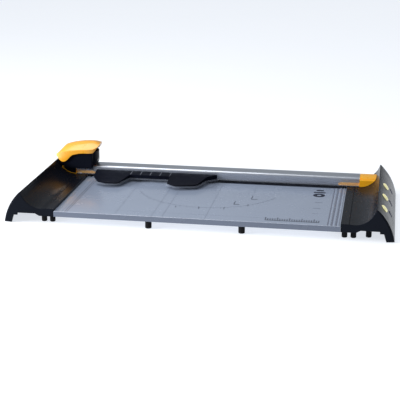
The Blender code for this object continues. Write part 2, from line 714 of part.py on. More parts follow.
def press_head():
    """Carrier on the guide posts, with the blade cartridge hanging from it."""
    low, high = 60.0, 62.6
    plate = rounded([(-286, 92.8, 2), (-233, 92.8, 2), (-233, 105, 3), (-286, 105, 3)], 3)
    carrier = prism("press_carrier", plate, "Z", low, high, "black")
    for i, x in enumerate(POST_XS):
        fuse(carrier, rod(f"carrier_sleeve_{i}", 4.3, 56.5, high - 0.5, x, POST_Y))
        cut(carrier, rod(f"carrier_bore_{i}", 2.8, 50.0, 70.0, x, POST_Y, segments=16))
        spring(f"press_spring_{i + 1}", 3.6, 0.4, 47.0, 56.2, 5, x, POST_Y)
    fuse(carrier, rod("carrier_column", 6.0, low + 1, 80.6, BLADE_X, POST_Y))

    arm = rounded([(BLADE_X - 6, 59.7), (BLADE_X - 6, BLADE_Z - 2, 3), (BLADE_X - 3, BLADE_Z - 6, 2),
                   (BLADE_X + 3, BLADE_Z - 6, 2), (BLADE_X + 6, BLADE_Z - 2, 3), (BLADE_X + 6, 59.7)], 3)
    cartridge = prism("blade_cartridge", arm, "Y", 86.7, 87.9, "dark")
    block = box("cartridge_block", (BLADE_X - 13, BLADE_X + 13), (84.4, 92.5), (54.0, 59.7), edge=1.5)
    fuse(cartridge, block)
    cut(cartridge, rod_y("arm_hole", 2.9, 80.0, 95.0, BLADE_X, BLADE_Z))
    turned("cartridge_knob", [(0, 0), (7.2, 0), (7.2, 1.6), (6.6, 2.4), (0, 2.9)],
           (BLADE_X, 84.1, 57.2), "yellow", aim="-Y", segments=28)
    turned("blade_axle", [(0, 0), (4.4, 0), (4.4, 0.4), (2.5, 0.4), (2.5, 3.2), (0, 3.2)],
           (BLADE_X, 84.95, BLADE_Z), "steel", aim="Y", segments=20)
    blade("cutting_blade", (BLADE_X, BLADE_Y, BLADE_Z), AIM["Y"])


def rod_y(name, radius, low, high, x, z, segments=20):
    profile = [(0, low), (radius, low), (radius, high), (0, high)]
    return turned(name, profile, (x, 0, z), aim="Y", segments=segments)


def blade(name, centre, aim):
    """A round blade, bevelled on both faces to its cutting edge."""
    half = 0.25
    profile = [(2.7, -half), (BLADE_R - 1.6, -half), (BLADE_R, -0.03), (BLADE_R, 0.03),
               (BLADE_R - 1.6, half), (2.7, half)]
    turned(name, profile, centre, "steel", aim=aim, segments=32)


# ---------------------------------------------------------------- storage in the right cap

def slope_frame(turn, y, tilt=0.0):
    """Matrix at a point of the convex side: local Z outwards, local X down the slope."""
    x, z = outer_point(turn)
    slope = radians(-OUTER_TOP + turn + tilt)
    out = Vector((sin(slope), 0, cos(slope)))
    down = Vector((cos(slope), 0, -sin(slope)))
    side = out.cross(down)
    frame = Matrix((down, side, out)).transposed().to_4x4()
    frame.translation = Vector((x, y, z))
    return frame


def door_hinge():
    return outer_point(DOOR_TURN0, HINGE_R)


def barrel(radius, steps=10):
    x, z = door_hinge()
    slope = OUTER_TOP - DOOR_TURN0
    return arc(x, z, radius, slope + 90, slope + 90 + 245, steps)


def door_outline(gap):
    """Door section: hinge barrel at the top, curved wall below it."""
    last = DOOR_TURN1 + degrees(gap / OUTER_R)
    wall = outer_arc(DOOR_TURN0, last, 10, -gap * 4 if gap else 0.0)
    inside = outer_arc(last, DOOR_TURN0 + 3.0, 9, CAP_WALL + gap)
    return wall[1:] + inside + list(reversed(barrel(HINGE_R + gap)))


def cut_windows(obj):
    for i, y in enumerate(WINDOW_YS):
        bm = turned_mesh([(0, -8), (WINDOW_R, -8), (WINDOW_R, 4), (0, 4)], 32)
        bm.transform(slope_frame(WINDOW_TURN, y))
        cut(obj, add(f"window_{i}", bm, None))


def storage(cap):
    door = prism("storage_door", door_outline(0.0), "Y", DOOR_Y0, DOOR_Y1, "dark", smooth=25)
    cut_windows(door)
    x, z = door_hinge()
    cut(door, rod_y("hinge_bore", 1.0, DOOR_Y0 - 5, DOOR_Y1 + 5, x, z, 16))
    turned("hinge_pin", [(0, DOOR_Y0 - 4), (0.7, DOOR_Y0 - 4), (0.7, DOOR_Y1 + 4), (0, DOOR_Y1 + 4)],
           (x, 0, z), "steel", aim="Y", segments=12)
    opening = prism("door_opening", door_outline(0.35), "Y", DOOR_Y0 - 0.4, DOOR_Y1 + 0.4)
    cut(cap, opening)
    cut(cap, rod_y("hinge_pin_bore", 1.0, DOOR_Y0 - 4.5, DOOR_Y1 + 4.5, x, z, 16))
    for i, y in enumerate(WINDOW_YS):
        spare_cartridge(i + 1, y)
    storage_tray()


def spare_cartridge(number, y):
    """A spare cutting head lying against the door: knob in the window, blade below it."""
    frame = slope_frame(WINDOW_TURN, y, SPARE_TILT)
    centre = Matrix.Translation((0, 0, -5.6))
    tip = SPARE_REACH + 5.0
    plan = rounded([(-7.2, -8.5, 4), (-7.2, 8.5, 4), (7.0, 8.5, 3), (10.0, 6.0, 2), (tip, 6.0, 3),
                    (tip, -6.0, 3), (10.0, -6.0, 2), (7.0, -8.5, 3)], 3)
    bm = prism_mesh(plan, "Z", -1.2, 0.6)
    bm.transform(frame @ centre)
    body = add(f"spare_cartridge_{number}", bm, "dark")
    hole = turned_mesh([(0, -5), (2.9, -5), (2.9, 5), (0, 5)], 20)
    hole.transform(frame @ centre @ Matrix.Translation((SPARE_REACH, 0, 0)))
    cut(body, add(f"spare_hole_{number}", hole, None))
    knob = turned_mesh([(0, -4.7), (KNOB_R - 0.4, -4.7), (KNOB_R, -4.3), (KNOB_R, -1.7), (KNOB_R - 0.4, -0.9),
                        (KNOB_R - 1.8, -0.1), (KNOB_R - 3.8, 0.5), (0, 0.8)], 32)
    knob.transform(frame)
    add(f"spare_knob_{number}", knob, "yellow")
    disc = frame @ centre @ Matrix.Translation((SPARE_REACH, 0, -1.2 - 0.3 - 0.25))
    blade(f"spare_blade_{number}", (0, 0, 0), disc)


def storage_tray():
    """Tray behind the spare cartridges, with dividers that reach the door."""
    middle = (DOOR_Y0 + DOOR_Y1) / 2
    half = (DOOR_Y1 - DOOR_Y0) / 2 - 3
    frame = slope_frame(WINDOW_TURN, middle, SPARE_TILT)

    def slab(name, low, high, kind=None):
        outline = [(low[0], low[1]), (high[0], low[1]), (high[0], high[1]), (low[0], high[1])]
        bm = prism_mesh(outline, "Z", low[2], high[2])
        bm.transform(frame)
        return add(name, bm, kind, 0)

    tray = slab("storage_tray", (-6.5, -half, -11.2), (26.0, half, -9.4), "black")
    first, second, third = (y - middle for y in WINDOW_YS)
    for i, y in enumerate((-half + 1, (first + second) / 2, (second + third) / 2, half - 1)):
        fuse(tray, slab(f"tray_divider_{i}", (-3.0, y - 1, -10.0), (25.5, y + 1, -4.8)))
    return tray


# ---------------------------------------------------------------- assembly

def main():
    clear_scene()
    bed()
    end_cap("left_end_cap", -1)
    right = end_cap("right_end_cap", 1)
    cap_fittings("left", -1)
    cap_fittings("right", 1)
    rail()
    end_block("left_end_block", -1)
    end_block("right_end_block", 1)
    clamp_strip()
    press_pad()
    carriage_housing()
    carriage_chassis()
    press_head()
    grip_cap()
    storage(right)


main()
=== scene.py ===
"""Looks of the rotary paper trimmer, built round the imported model.

Lengths are in millimetres and the mesh functions turn them into metres.
+X runs along the rail to the right, +Y to the back and +Z up.
"""

import json
from math import cos, pi, radians, sin, sqrt

import bmesh
import bpy
from mathutils import Matrix, Vector


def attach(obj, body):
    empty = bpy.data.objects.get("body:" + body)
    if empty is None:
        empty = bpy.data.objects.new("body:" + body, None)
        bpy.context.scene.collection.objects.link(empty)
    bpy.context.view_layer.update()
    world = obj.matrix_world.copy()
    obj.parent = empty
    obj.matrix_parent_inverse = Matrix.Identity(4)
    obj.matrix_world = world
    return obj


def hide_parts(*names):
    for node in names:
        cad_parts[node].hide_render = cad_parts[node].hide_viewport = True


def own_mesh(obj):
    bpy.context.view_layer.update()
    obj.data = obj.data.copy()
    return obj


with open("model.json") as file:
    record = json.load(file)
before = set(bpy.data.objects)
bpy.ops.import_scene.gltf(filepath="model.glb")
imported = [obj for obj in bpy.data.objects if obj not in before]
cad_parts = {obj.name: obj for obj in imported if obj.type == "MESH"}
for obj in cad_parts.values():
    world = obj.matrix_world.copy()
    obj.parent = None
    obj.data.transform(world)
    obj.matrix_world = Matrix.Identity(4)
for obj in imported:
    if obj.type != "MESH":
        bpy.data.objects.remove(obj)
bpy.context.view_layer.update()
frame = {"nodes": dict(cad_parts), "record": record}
scene = bpy.context.scene
MM = 0.001

BED_X = 240.0                # half width of the bed
BED_Y = 141.0                # half its depth
BED_TOP = 22.5
STROKE_TOP = BED_TOP + 0.04
PRINT_FRONT = -138.0
PRINT_BACK = 76.0            # just in front of the clamp's posts


# ---------------------------------------------------------------- node materials

PLASTIC_BUMP = 0.00001       # metres
LEATHER_BUMP = 0.00003
BRUSH_BUMP = 0.000006
WAVY_BUMP = 0.00005


class Look:
    """A Principled material and short calls for the nodes that drive it."""

    def __init__(self, name, colour, roughness, metallic=0.0):
        self.mat = bpy.data.materials.new(name)
        self.mat.use_nodes = True
        self.tree = self.mat.node_tree
        self.shader = self.tree.nodes["Principled BSDF"]
        self.set("Base Color", (*colour, 1.0))
        self.set("Roughness", roughness)
        self.set("Metallic", metallic)
        self.colour = colour
        place = self.tree.nodes.new("ShaderNodeTexCoord")
        self.coords = place.outputs["Object"]
        self.normal = place.outputs["Normal"]

    def set(self, socket, value):
        self.shader.inputs[socket].default_value = value

    def link(self, output, socket):
        self.tree.links.new(output, socket)

    def spread(self, scale):
        """Object coordinates stretched by a factor per axis."""
        node = self.tree.nodes.new("ShaderNodeMapping")
        node.inputs["Scale"].default_value = scale
        self.link(self.coords, node.inputs["Vector"])
        return node.outputs["Vector"]

    def noise(self, scale, detail=3.0, rough=0.5, stretch=None):
        node = self.tree.nodes.new("ShaderNodeTexNoise")
        node.inputs["Scale"].default_value = scale
        node.inputs["Detail"].default_value = detail
        node.inputs["Roughness"].default_value = rough
        self.link(self.spread(stretch) if stretch else self.coords, node.inputs["Vector"])
        return node.outputs["Fac"]

    def cells(self, scale):
        node = self.tree.nodes.new("ShaderNodeTexVoronoi")
        node.inputs["Scale"].default_value = scale
        self.link(self.coords, node.inputs["Vector"])
        return node.outputs["Distance"]

    def to_range(self, value, low, high, from_low=0.3, from_high=0.7):
        node = self.tree.nodes.new("ShaderNodeMapRange")
        node.inputs["From Min"].default_value = from_low
        node.inputs["From Max"].default_value = from_high
        node.inputs["To Min"].default_value = low
        node.inputs["To Max"].default_value = high
        self.link(value, node.inputs["Value"])
        return node.outputs["Result"]

    def blend(self, value, first, second, from_low=0.3, from_high=0.7):
        """Colour between first and second as value goes from low to high."""
        ramp = self.tree.nodes.new("ShaderNodeValToRGB")
        ramp.color_ramp.elements[0].position = from_low
        ramp.color_ramp.elements[0].color = (*first, 1.0)
        ramp.color_ramp.elements[1].position = from_high
        ramp.color_ramp.elements[1].color = (*second, 1.0)
        self.link(value, ramp.inputs["Fac"])
        return ramp.outputs["Color"]

    def tint(self, value, share):
        """Base colour that drifts darker and lighter by a share."""
        dark = tuple(c * (1 - share) for c in self.colour)
        light = tuple(min(c * (1 + share), 1.0) for c in self.colour)
        self.link(self.blend(value, dark, light), self.shader.inputs["Base Color"])

    def paint_front_shade(self, colour, share):
        """Multiply the base colour by a share on faces that look to the front, as painted shade."""
        axes = self.tree.nodes.new("ShaderNodeSeparateXYZ")
        self.link(self.normal, axes.inputs["Vector"])
        front = self.to_range(axes.outputs["Y"], 1.0, 0.0, -0.9, -0.4)
        mix = self.tree.nodes.new("ShaderNodeMix")
        mix.data_type = "RGBA"
        mix.blend_type = "MULTIPLY"
        self.link(front, mix.inputs["Factor"])
        self.link(colour, mix.inputs["A"])
        mix.inputs["B"].default_value = (*share, 1.0)
        self.link(mix.outputs["Result"], self.shader.inputs["Base Color"])

    def vary_roughness(self, value, low, high):
        self.link(self.to_range(value, low, high), self.shader.inputs["Roughness"])

    def bump(self, value, strength, distance):
        node = self.tree.nodes.new("ShaderNodeBump")
        node.inputs["Strength"].default_value = strength
        node.inputs["Distance"].default_value = distance
        self.link(value, node.inputs["Height"])
        last = self.shader.inputs["Normal"]
        if last.is_linked:
            self.link(last.links[0].from_socket, node.inputs["Normal"])
        self.link(node.outputs["Normal"], last)


def painted_bed():
    """Blue-grey paint; faces that look to the front get painted shade, so the upright lip is darker than
    the flat top.
    """
    look = Look("bed_paint_and_front_shade", (0.255, 0.295, 0.375), 0.24)
    look.set("Coat Weight", 0.25)
    look.set("Coat Roughness", 0.10)
    top = look.blend(look.noise(5.0, 4.0), (0.255, 0.300, 0.395), (0.280, 0.328, 0.430))
    # painted shade: faces that look to the front are multiplied darker
    look.paint_front_shade(top, (0.42, 0.43, 0.46))
    look.vary_roughness(look.noise(30.0, 5.0, 0.65), 0.21, 0.30)
    look.bump(look.noise(2600.0, 1.0), 0.02, PLASTIC_BUMP)
    return look.mat


def painted_edge_highlight():
    """Lighter colour of the bed's front edge bead, as a painted highlight."""
    look = Look("bed_edge_painted_highlight", (0.50, 0.54, 0.63), 0.2)
    look.set("Coat Weight", 0.4)
    look.tint(look.noise(40.0, 4.0), 0.06)
    look.vary_roughness(look.noise(90.0, 4.0), 0.16, 0.28)
    look.bump(look.noise(2600.0, 1.0), 0.04, PLASTIC_BUMP)
    return look.mat


def glossy_dark(name, colour, roughness):
    """Near-black plastic with a weak, slightly blue shine."""
    look = Look(name, colour, roughness)
    look.set("Specular IOR Level", 0.065)
    look.set("Specular Tint", (0.80, 0.87, 1.0, 1.0))
    look.tint(look.noise(9.0, 4.0), 0.18)
    look.vary_roughness(look.noise(45.0, 6.0, 0.7), roughness * 0.85, roughness * 1.2)
    look.bump(look.noise(2600.0, 1.0), 0.06, PLASTIC_BUMP)
    return look.mat


def soft_black(name, colour=(0.010, 0.011, 0.015), roughness=0.46, grain=1500.0):
    """Matt plastic with a fine grain of cells, black where no colour is given."""
    look = Look(name, colour, roughness)
    look.set("Specular IOR Level", 0.05)
    look.tint(look.noise(25.0, 4.0), 0.25)
    look.vary_roughness(look.noise(60.0, 5.0, 0.6), roughness * 0.85, roughness * 1.15)
    look.bump(look.cells(grain), 0.2, LEATHER_BUMP)
    return look.mat


def yellow_plastic(name, colour, coat):
    """Yellow plastic that lets a little light in."""
    look = Look(name, colour, 0.30)
    look.set("Coat Weight", coat)
    look.set("Coat Roughness", 0.28)
    look.set("Subsurface Weight", 0.08)
    look.set("Subsurface Radius", (0.004, 0.002, 0.0005))
    look.set("Subsurface Scale", 0.5)
    look.tint(look.noise(14.0, 3.0), 0.05)
    look.vary_roughness(look.noise(50.0, 6.0, 0.7), 0.24, 0.38)
    look.bump(look.noise(2400.0, 1.0), 0.08, PLASTIC_BUMP)
    return look.mat


def painted_glow_knob():
    """Pale yellow of the spare heads' knobs, with a weak emission as a painted glow."""
    look = Look("knob_yellow_with_painted_glow", (1.0, 0.92, 0.50), 0.34)
    # painted glow: the emission lights the knobs, which are no lamp
    look.set("Emission Color", (1.0, 0.90, 0.50, 1.0))
    look.set("Emission Strength", 0.22)
    look.set("Subsurface Weight", 0.12)
    look.set("Subsurface Radius", (0.004, 0.003, 0.001))
    look.set("Subsurface Scale", 0.5)
    look.tint(look.noise(60.0, 3.0), 0.06)
    look.vary_roughness(look.noise(300.0, 4.0), 0.28, 0.42)
    look.bump(look.noise(2400.0, 1.0), 0.08, PLASTIC_BUMP)
    return look.mat


def brushed(name, colour, roughness, stretch, strength):
    """Metal with a fine grain, stretched by a factor per axis."""
    look = Look(name, colour, roughness, 1.0)
    grain = look.noise(900.0, 4.0, 0.6, stretch)
    look.tint(grain, 0.06)
    look.vary_roughness(grain, roughness * 0.8, roughness * 1.25)
    look.bump(grain, strength, BRUSH_BUMP)
    return look.mat


def clear_guard():
    """Clear strip, shown as a thin bluish veil over what is behind it."""
    look = Look("clear_polycarbonate", (0.42, 0.46, 0.56), 0.08)
    look.set("Alpha", 0.16)
    look.set("IOR", 1.5)
    look.vary_roughness(look.noise(160.0, 5.0, 0.7, (0.15, 1, 1)), 0.05, 0.11)
    look.bump(look.noise(240.0, 3.0), 0.04, WAVY_BUMP)
    return look.mat


def flat_ink_and_shade(name, colour, shine=0.2):
    """Flat ink, also used for painted shade, with a slightly uneven colour."""
    look = Look(name, colour, 0.5)
    look.set("Specular IOR Level", shine)
    look.tint(look.noise(400.0, 3.0), 0.15)
    look.vary_roughness(look.noise(700.0, 2.0), 0.42, 0.6)
    return look.mat


BED = painted_bed()
EDGE_HIGHLIGHT = painted_edge_highlight()
# lighter grey of the pad's rib edges, a painted highlight
RIB_HIGHLIGHT_GREY = soft_black("rib_painted_highlight", (0.17, 0.18, 0.22), 0.4)
DARK = glossy_dark("dark_gloss_plastic", (0.0055, 0.0068, 0.011), 0.24)
# the housing's plastic, also used as painted shade on the left block's front
HOUSING_AND_SHADE = glossy_dark("housing_plastic_and_painted_shade", (0.005, 0.006, 0.011), 0.30)
BLACK = soft_black("black_plastic")
SOFT = soft_black("soft_touch_black", (0.0035, 0.0045, 0.010), 0.5, 1300.0)
RUBBER = soft_black("rubber", (0.012, 0.012, 0.013), 0.72, 2200.0)
YELLOW = yellow_plastic("yellow_plastic", (0.97, 0.45, 0.012), 0.0)
GRIP_YELLOW = yellow_plastic("grip_yellow", (0.82, 0.37, 0.016), 1.0)
RAIL = brushed("brushed_aluminium", (0.56, 0.59, 0.65), 0.34, (0.01, 1.0, 1.0), 0.10)
STEEL = brushed("plated_steel", (0.62, 0.62, 0.64), 0.22, (0.3, 0.3, 0.3), 0.12)
CLEAR = clear_guard()
INK = flat_ink_and_shade("grey_ink", (0.155, 0.18, 0.24))
RULER_INK = flat_ink_and_shade("ruler_ink", (0.055, 0.062, 0.088))
# dark ink of the print, also the painted shade under the clamp and the rail
DARK_INK_AND_SHADE = flat_ink_and_shade("dark_ink_and_painted_shade", (0.010, 0.013, 0.030))
# painted shade between the ribs at the bed's right edge
GROOVE_SHADE = flat_ink_and_shade("groove_painted_shade", (0.155, 0.17, 0.225))
MARK_INK = flat_ink_and_shade("mark_ink", (0.006, 0.012, 0.070), 0.0)
KNOB_GLOW_YELLOW = painted_glow_knob()

LOOKS = {"bed": BED, "dark_plastic": DARK, "black_plastic": BLACK, "yellow_plastic": YELLOW,
         "aluminium": RAIL, "steel": STEEL, "clear_plastic": CLEAR, "rubber": RUBBER}
OWN_LOOKS = {"clamp_post_left": BLACK, "clamp_post_right": BLACK,
             "carriage_housing": HOUSING_AND_SHADE, "cutting_mat": SOFT, "press_pad": SOFT}

for part in frame["record"]["subparts"]:
    node = frame["nodes"][part["node"]]
    node.data.materials.clear()
    node.data.materials.append(OWN_LOOKS.get(part["node"], LOOKS[part["material_slot"]]))


# ---------------------------------------------------------------- mesh helpers

def add(name, bm, mat, body, smooth=35.0):
    """Make a bmesh, in millimetres, into a piece that rides on a body."""
    bmesh.ops.recalc_face_normals(bm, faces=bm.faces)
    bmesh.ops.scale(bm, vec=(MM, MM, MM), verts=bm.verts)
    mesh = bpy.data.meshes.new(name)
    bm.to_mesh(mesh)
    bm.free()
    if smooth:
        mesh.shade_smooth()
        mesh.set_sharp_from_angle(angle=radians(smooth))
    mesh.materials.append(mat)
    obj = bpy.data.objects.new(name, mesh)
    scene.collection.objects.link(obj)
    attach(obj, body)
    return obj


def bridge(bm, first, second):
    """A band of faces between two rings of vertices."""
    count = len(first)
    for i in range(count):
        j = (i + 1) % count
        bm.faces.new((first[i], first[j], second[j], second[i]))


def solid(bm, ends):
    """A closed solid between two matching end outlines, added to bm."""
    first, last = [[bm.verts.new(point) for point in end] for end in ends]
    bm.faces.new(first)
    bm.faces.new(last)
    bridge(bm, first, last)


def six_sides(bm, points):
    """A closed block on eight corners, added to bm."""
    a, b, c, d, e, f, g, h = [bm.verts.new(point) for point in points]
    for face in ((a, b, d, c), (e, f, h, g), (a, b, f, e), (c, d, h, g), (a, c, g, e), (b, d, h, f)):
        bm.faces.new(face)


def tube(bm, rings):
    """Rings of vertices joined in order and closed at both ends."""
    for first, second in zip(rings, rings[1:]):
        bridge(bm, first, second)
    bm.faces.new(rings[0])
    bm.faces.new(rings[-1])


def stroke(bm, points, width):
    """A flat band along points in plan, for print and for painted shade."""
    left, right = [], []
    for i, point in enumerate(points):
        here = Vector(point)
        last = Vector(points[max(i - 1, 0)])
        following = Vector(points[min(i + 1, len(points) - 1)])
        way = (following - last).normalized()
        side = Vector((-way.y, way.x)) * width / 2
        left.append(tuple(here + side))
        right.append(tuple(here - side))
    outline = left + right[::-1]
    solid(bm, [[(x, y, z) for x, y in outline] for z in (BED_TOP, STROKE_TOP)])


def arc_points(cx, cy, radius, start, end, steps):
    """Points along an arc, from one angle in degrees to another."""
    return [(cx + radius * cos(radians(start + (end - start) * i / steps)),
             cy + radius * sin(radians(start + (end - start) * i / steps))) for i in range(steps + 1)]


# ---------------------------------------------------------------- print and painted shade on the bed

FORMAT_XS = (-135.0, -72.5, -54.5, 17.0)
CORNER_XS = (79.5, 53.5)
DASH_LEFT = 189.5
ARC_MIDDLE = (-1.0, 57.0)
ARC_RADIUS = 133.0
SIGN_MIDDLE = (194.0, 29.0)
RULER_LEFT, RULER_RIGHT, RULER_Y = 116.0, 204.0, -126.0
RULER_STEP = 4.0


def line_in_y(bm, x, width, low=PRINT_FRONT, high=PRINT_BACK):
    """A flat band from front to back, for print and for painted shade."""
    stroke(bm, [(x, low), (x, high)], width)


def line_in_x(bm, y, width, low, high):
    """A flat band from left to right, for print and for painted shade."""
    stroke(bm, [(low, y), (high, y)], width)


def format_lines():
    """Lines for the paper formats, and an arc with ticks for angles."""
    bm = bmesh.new()
    for x in FORMAT_XS:
        line_in_y(bm, x, 0.7)
    line_in_y(bm, CORNER_XS[0], 0.8, 25.0, 64.0)
    for y in (-116.0, 55.0):
        line_in_x(bm, y, 0.35, -212.0, 212.0)
    stroke(bm, arc_points(*ARC_MIDDLE, ARC_RADIUS, 205.0, 335.0, 60), 1.1)
    for turn in range(210, 331, 5):
        tick = 6.0 if turn % 15 == 0 else 3.0
        across, along = cos(radians(turn)), sin(radians(turn))
        ends = [(ARC_MIDDLE[0] + reach * across, ARC_MIDDLE[1] + reach * along)
                for reach in (ARC_RADIUS, ARC_RADIUS + tick)]
        stroke(bm, ends, 0.8)
    add("bed_print_lines", bm, INK, "base", 0)


def margin_lines():
    """Two lines along the bed's left margin."""
    bm = bmesh.new()
    for x in (-221.2, -217.6):
        line_in_y(bm, x, 0.9)
    add("bed_print_margin", bm, RULER_INK, "base", 0)


def corner_marks():
    """Two corners that mark small formats, and short ticks beside the arc."""
    bm = bmesh.new()
    for x, y, tall, wide in ((CORNER_XS[0], -14.0, 21.0, 11.0), (CORNER_XS[1], -48.5, 18.0, 9.5)):
        stroke(bm, [(x, y + tall), (x, y)], 1.2)
        line_in_x(bm, y, 2.2, x - 0.6, x + wide)
    for x, y, tall in ((-43.0, -82.0, 8.0), (-3.5, -84.0, 12.0), (39.5, -80.0, 13.0), (77.5, -56.0, 12.0)):
        stroke(bm, [(x, y + tall), (x + 1.2, y)], 0.9)
    add("bed_print_corner_marks", bm, DARK_INK_AND_SHADE, "base", 0)


def side_dashes():
    """Short bars at the bed's right side."""
    bm = bmesh.new()
    for y, long, tall in ((-14.5, 13.0, 2.4), (-48.5, 12.0, 2.8), (-78.0, 10.0, 1.2)):
        line_in_x(bm, y, tall, DASH_LEFT, DASH_LEFT + long)
    add("bed_print_dashes", bm, INK, "base", 0)


def blade_symbol():
    """A plain sign for the round blade: a ring and two bars."""
    bm = bmesh.new()
    steps = 40
    outer, inner = [arc_points(*SIGN_MIDDLE, radius, 0, 360, steps)[:-1] for radius in (10.5, 3.8)]
    rings = []
    for z in (BED_TOP, STROKE_TOP):
        rings.append([[bm.verts.new((x, y, z)) for x, y in ring] for ring in (outer, inner)])
    (low_outer, low_inner), (high_outer, high_inner) = rings
    for i in range(steps):
        j = (i + 1) % steps
        for a, b in ((low_outer, low_inner), (high_outer, high_inner),
                     (low_outer, high_outer), (low_inner, high_inner)):
            bm.faces.new((a[i], a[j], b[j], b[i]))
    for y, half in ((46.5, 10.5), (59.5, 6.5)):
        line_in_x(bm, y, 6.5, SIGN_MIDDLE[0] - half, SIGN_MIDDLE[0] + half)
    add("bed_print_blade_sign", bm, DARK_INK_AND_SHADE, "base", 0)


def scale_bar():
    """A plain ruler in the front right corner."""
    bm = bmesh.new()
    line_in_x(bm, RULER_Y, 2.4, RULER_LEFT, RULER_RIGHT)
    for i in range(round((RULER_RIGHT - RULER_LEFT) / RULER_STEP) + 1):
        tall = 16.0 if i % 5 == 0 else 10.0
        line_in_y(bm, RULER_LEFT + RULER_STEP * i, 1.5, RULER_Y, RULER_Y + tall)
    add("bed_print_ruler", bm, RULER_INK, "base", 0)


def edge_groove_shade():
    """Darker bands beside the ribs at the bed's right edge, painted shade between the ribs."""
    bm = bmesh.new()
    for x, wide in ((219.2, 2.2), (226.0, 2.6), (233.0, 2.6)):
        line_in_y(bm, x, wide, PRINT_FRONT - 1.0, PRINT_BACK + 1.0)
    add("bed_painted_groove_shade", bm, GROOVE_SHADE, "base", 0)


def shade_under_rail():
    """Painted shade on the bed under the clamp and the rail, with gaps for the clamp's posts."""
    bm = bmesh.new()
    end = BED_X - 1.0
    post_near, post_far = 228.8, 237.2
    for low, high in ((-end, -post_far), (-post_near, post_near), (post_far, end)):
        line_in_x(bm, 79.9, 4.6, low, high)
    line_in_x(bm, 101.5, 24.0, -end, end)
    add("bed_painted_shade_under_rail", bm, DARK_INK_AND_SHADE, "base", 0)


def edge_ribs():
    """Low ribs along the bed's two side edges."""
    bm = bmesh.new()
    tall, slope = 0.35, 0.4
    for x, half in ((222.5, 1.6), (229.3, 1.8), (236.2, 1.5), (-229.5, 3.4), (-237.0, 1.2)):
        section = [(-half, 0.0), (-half + slope, tall), (half - slope, tall), (half, 0.0)]
        solid(bm, [[(x + dx, y, BED_TOP + dz) for dx, dz in section] for y in (-139.6, PRINT_BACK + 1.0)])
    add("bed_edge_ribs", bm, BED, "base", 0)


# ---------------------------------------------------------------- rail

RAIL_FRONT, RAIL_BACK = 88.5, 115.0
RAIL_BOTTOM = 27.3
RAIL_TOP_FRONT, RAIL_TOP_BACK = 41.8, 42.1
RAIL_END = 262.0
CROWN = 0.6                  # rise of the top between its two edges
CORNER_WIDE, CORNER_TALL = 5.0, 4.3
FRONT_GROOVE = (32.7, 36.3)  # low and high side
BACK_GROOVE = (31.0, 34.8)
FRONT_DEEP, BACK_DEEP = 2.9, 3.2
CHANNEL_WALL = 7.5
CHANNEL_TOP = 37.0


def rail():
    """The guide rail: rounded front edge, crowned top, a groove in each side and a channel below."""
    front, back = RAIL_FRONT, RAIL_BACK
    corner = [(front + CORNER_WIDE - CORNER_WIDE * cos(radians(a)),
               RAIL_TOP_FRONT - CORNER_TALL + CORNER_TALL * sin(radians(a))) for a in range(0, 91, 9)]
    crown = []
    for i in range(1, 12):
        t = i / 12
        crown.append((front + CORNER_WIDE + (back - front - CORNER_WIDE) * t,
                      RAIL_TOP_FRONT + (RAIL_TOP_BACK - RAIL_TOP_FRONT) * t + CROWN * sin(pi * t)))
    low, high = FRONT_GROOVE
    front_side = [(front, RAIL_BOTTOM), (front, low), (front + FRONT_DEEP, low),
                  (front + FRONT_DEEP, high), (front, high)]
    low, high = BACK_GROOVE
    back_side = [(back - 0.5, RAIL_TOP_BACK), (back, RAIL_TOP_BACK - 0.7), (back, high),
                 (back - BACK_DEEP, high), (back - BACK_DEEP, low), (back, low), (back, RAIL_BOTTOM)]
    channel = [(back - CHANNEL_WALL, RAIL_BOTTOM), (back - CHANNEL_WALL, CHANNEL_TOP),
               (front + CHANNEL_WALL, CHANNEL_TOP), (front + CHANNEL_WALL, RAIL_BOTTOM)]
    section = front_side + corner + crown + back_side + channel
    bm = bmesh.new()
    solid(bm, [[(x, y, z) for y, z in section] for x in (-RAIL_END, RAIL_END)])
    shell = add("rail_shell", bm, RAIL, "base", 25.0)
    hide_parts("rail")


def lip_bead():
    """A thin bead along the bed's front edge, painted lighter as a highlight."""
    bm = bmesh.new()
    section = [(0.3, 0.0), (0.4, 0.16), (0.7, 0.27), (1.1, 0.27), (1.6, 0.12), (1.8, 0.0)]
    end = BED_X - 0.4
    solid(bm, [[(x, dy - BED_Y, BED_TOP + dz) for dy, dz in section] for x in (-end, end)])
    add("bed_edge_bead", bm, EDGE_HIGHLIGHT, "base", 40.0)


# ---------------------------------------------------------------- pad ribs

RIB_COUNT = 5
FIRST_RIB_X = -153.5
RIB_PITCH = 18.25


def rib_edges():
    """Lighter strips along the ribs across the pad's neck, a painted highlight on their edges."""
    bm = bmesh.new()
    ends = [(58.6, 36.15), (79.8, 37.05)]
    half, tall = 0.45, 0.25
    for i in range(RIB_COUNT):
        x = FIRST_RIB_X + RIB_PITCH * i
        six_sides(bm, [(x + dx, y, z + dz) for dx in (-half, half) for dz in (0.0, tall) for y, z in ends])
    add("pad_rib_edges", bm, RIB_HIGHLIGHT_GREY, "clamp", 0)


# ---------------------------------------------------------------- springs

def coil(name, body, place, heights, radius, wire, turns):
    """A coil spring between two heights, fixed to a body."""
    (x, y), (low, high) = place, heights
    steps, sides = 20, 8
    total = turns * steps
    bm = bmesh.new()
    rings = []
    for i in range(total + 1):
        a = 2 * pi * i / steps
        out = Vector((cos(a), sin(a), 0.0))
        middle = Vector((x, y, low + wire + (high - low - 2 * wire) * i / total)) + out * radius
        round_wire = [(cos(2 * pi * k / sides), sin(2 * pi * k / sides)) for k in range(sides)]
        rings.append([bm.verts.new(middle + out * wire * c + Vector((0.0, 0.0, wire * s)))
                      for c, s in round_wire])
    tube(bm, rings)
    spring = add(name + "_coil", bm, STEEL, body, 40.0)
    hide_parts(name)
    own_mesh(spring)


